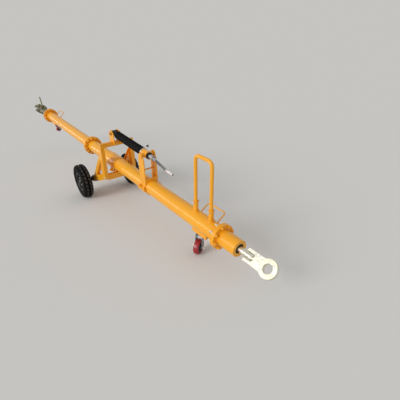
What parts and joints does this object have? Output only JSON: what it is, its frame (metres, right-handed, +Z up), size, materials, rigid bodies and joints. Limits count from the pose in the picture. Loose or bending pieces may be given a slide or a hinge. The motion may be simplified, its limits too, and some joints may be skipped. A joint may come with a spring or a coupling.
{
  "type": "aircraft tow bar",
  "caption": "Long steel bar for pushing or towing an aircraft: swivelling tow eye, hand-cranked jack over a two-wheel carriage, bolted flanges, handles, casters and a jaw head.",
  "frame": {"origin": "middle of the bounding box's base: the floor under the bar, on its centre plane", "axes": "+X along the bar towards the tow eye, +Y to the right-hand wheel as seen looking from the tow eye to the aircraft end, +Z up"},
  "size_m": [6.4291, 0.808, 1.1071],
  "materials": {
    "yellow_paint": "glossy orange-yellow enamel over steel",
    "zinc": "yellow-passivated zinc plate",
    "steel": "ground steel",
    "chrome": "bright chrome plate",
    "rubber_cover": "black coated fabric and rubber",
    "black_paint": "black enamel",
    "tyre": "black rubber with block tread",
    "red_roller": "red polyurethane tread on a cast core"
  },
  "bodies": {
    "bar": {"front_head": "yellow_paint", "front_tube": "yellow_paint", "rear_tube": "yellow_paint", "handle_feet": "yellow_paint", "tow_handle": "yellow_paint", "side_handle_front": "yellow_paint", "side_handle_rear": "yellow_paint", "front_caster_bracket": "yellow_paint", "rear_caster_bracket": "yellow_paint", "post_ear_left": "yellow_paint", "post_ear_right": "yellow_paint", "post_clamp": "yellow_paint", "post_tie": "yellow_paint", "pivot_saddle": "yellow_paint", "pivot_pin": "steel", "head_body": "zinc", "head_jaws": "zinc"},
    "eye": {"tow_eye": "zinc", "eye_shaft": "zinc"},
    "front_fork": {"front_caster_fork": "zinc"},
    "front_roller": {"front_caster_wheel": "red_roller"},
    "rear_fork": {"rear_caster_fork": "zinc"},
    "rear_roller": {"rear_caster_wheel": "red_roller"},
    "carriage": {"carriage_side_left": "yellow_paint", "carriage_side_right": "yellow_paint", "top_beam": "yellow_paint", "lower_beam": "yellow_paint", "jack_arm": "yellow_paint", "jack_pin": "steel", "axle_left": "black_paint", "axle_right": "black_paint"},
    "wheel_left": {"rim_left": "black_paint", "tyre_left": "tyre"},
    "wheel_right": {"rim_right": "black_paint", "tyre_right": "tyre"},
    "jack": {"trunnion_block": "yellow_paint", "jack_cap": "black_paint", "jack_tube": "steel", "jack_ring": "chrome", "lock_lever": "chrome", "bellows": "rubber_cover"},
    "rod": {"jack_rod": "steel"},
    "crank": {"crank_hub": "chrome", "crank_arm": "steel"},
    "grip": {"crank_grip": "chrome"},
    "pin": {"head_pin": "steel"},
    "lever": {"head_lever": "zinc"}
  },
  "joints": [
    {"name": "eye_swivel", "type": "hinge", "parent": "bar", "child": "eye", "pos_m": [2.83989, 0, 0.27828], "axis": [0.995, 0, -0.0996], "continuous": true},
    {"name": "front_fork_swivel", "type": "hinge", "parent": "bar", "child": "front_fork", "pos_m": [2.35212, 0, 0.19444], "axis": [0.0996, 0, 0.995], "continuous": true},
    {"name": "front_roller_spin", "type": "hinge", "parent": "front_fork", "child": "front_roller", "pos_m": [2.35743, -0.03386, 0.07432], "axis": [-0.8866, -0.454, 0.0887], "continuous": true},
    {"name": "rear_fork_swivel", "type": "hinge", "parent": "bar", "child": "rear_fork", "pos_m": [-1.99874, 0, 0.63398], "axis": [0.0996, 0, 0.995], "continuous": true},
    {"name": "rear_roller_spin", "type": "hinge", "parent": "rear_fork", "child": "rear_roller", "pos_m": [-2.01792, 0.02299, 0.5756], "axis": [0.8617, 0.5, -0.0863], "continuous": true},
    {"name": "carriage_swing", "type": "hinge", "parent": "bar", "child": "carriage", "pos_m": [0.56445, 0, 0.38746], "axis": [0, 1, 0], "range_deg": [0, 15]},
    {"name": "wheel_left_spin", "type": "hinge", "parent": "carriage", "child": "wheel_left", "pos_m": [0.23966, -0.343, 0.225], "axis": [0, 1, 0], "continuous": true},
    {"name": "wheel_right_spin", "type": "hinge", "parent": "carriage", "child": "wheel_right", "pos_m": [0.23966, 0.343, 0.225], "axis": [0, 1, 0], "continuous": true},
    {"name": "jack_swing", "type": "hinge", "parent": "bar", "child": "jack", "pos_m": [1.52212, 0, 0.76796], "axis": [0, 1, 0], "range_deg": [-4.28, 0]},
    {"name": "jack_stroke", "type": "slide", "parent": "jack", "child": "rod", "axis": [0.9889, 0, -0.1488], "range_m": [0, 0.1316], "deforming": ["bellows"]},
    {"name": "crank_turn", "type": "hinge", "parent": "jack", "child": "crank", "pos_m": [1.621, 0, 0.75308], "axis": [0.9889, 0, -0.1488], "continuous": true},
    {"name": "grip_turn", "type": "hinge", "parent": "crank", "child": "grip", "pos_m": [1.68507, 0.13498, 0.58076], "axis": [0.9889, 0, -0.1488], "continuous": true},
    {"name": "head_pin_lift", "type": "slide", "parent": "bar", "child": "pin", "axis": [0.0996, 0, 0.995], "range_m": [0, 0.09]},
    {"name": "head_lever_swing", "type": "hinge", "parent": "bar", "child": "lever", "pos_m": [-2.82449, 0, 0.91865], "axis": [0, 1, 0], "range_deg": [-50, 0]}
  ],
  "couplings": [
    {"joint": "jack_swing", "follows": "carriage_swing", "ratio": -0.27209},
    {"joint": "jack_stroke", "follows": "carriage_swing", "m_per_rad": 0.49512}
  ]
}
